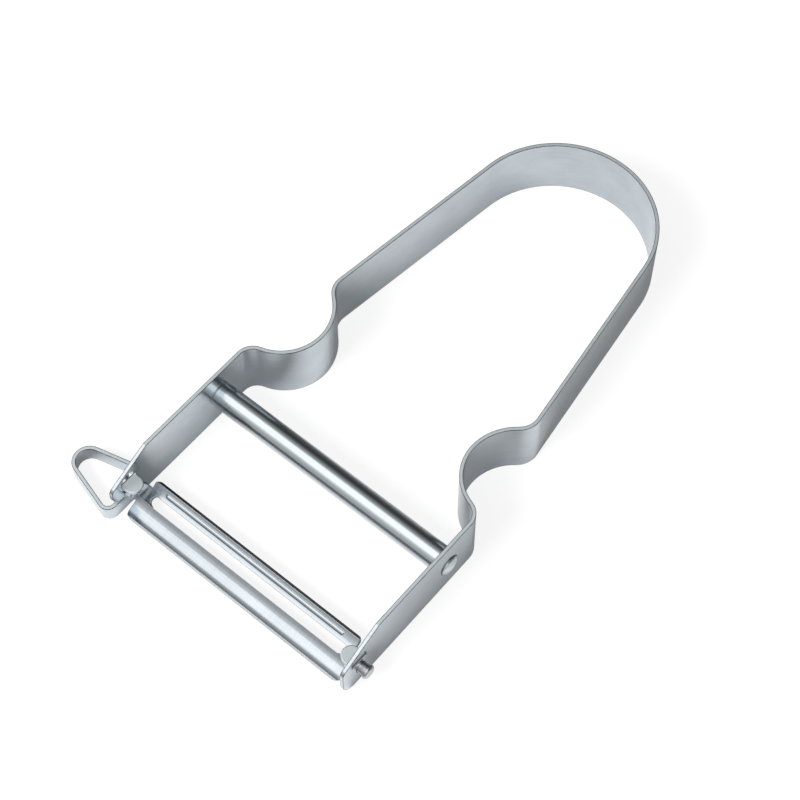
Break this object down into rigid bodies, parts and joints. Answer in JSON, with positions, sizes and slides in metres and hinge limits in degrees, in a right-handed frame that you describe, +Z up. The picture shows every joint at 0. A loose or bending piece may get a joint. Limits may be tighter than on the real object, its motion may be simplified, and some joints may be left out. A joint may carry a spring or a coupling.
{
  "type": "vegetable peeler",
  "caption": "Swivel vegetable peeler: a bent strip loop handle with finger bows, a round crossbar, a slotted blade that pivots between two arms, and a loop for taking out potato eyes.",
  "frame": {"origin": "centre of the whole peeler's footprint, at the height of the strip's lower edge, on which the peeler lies", "axes": "+X along the crossbar and the blade, away from the eye remover; +Y from the blade to the arch of the handle; +Z up across the strip's width"},
  "size_m": [0.0664, 0.1102, 0.0124],
  "materials": {
    "strip_steel": "satin, tumbled",
    "bar_steel": "bright turned",
    "blade_steel": "bright rolled, ground edge",
    "pin_steel": "bright turned"
  },
  "bodies": {
    "handle": {"handle_strip": "strip_steel", "crossbar": "bar_steel"},
    "swivel_blade": {"blade": "blade_steel", "pivot_pin_left": "pin_steel", "pivot_pin_right": "pin_steel"}
  },
  "joints": [
    {"name": "blade_swivel", "type": "hinge", "parent": "handle", "child": "swivel_blade", "pos_m": [0.00509, -0.04899, 0.00415], "axis": [1, 0, 0], "range_deg": [-57, 1]}
  ]
}
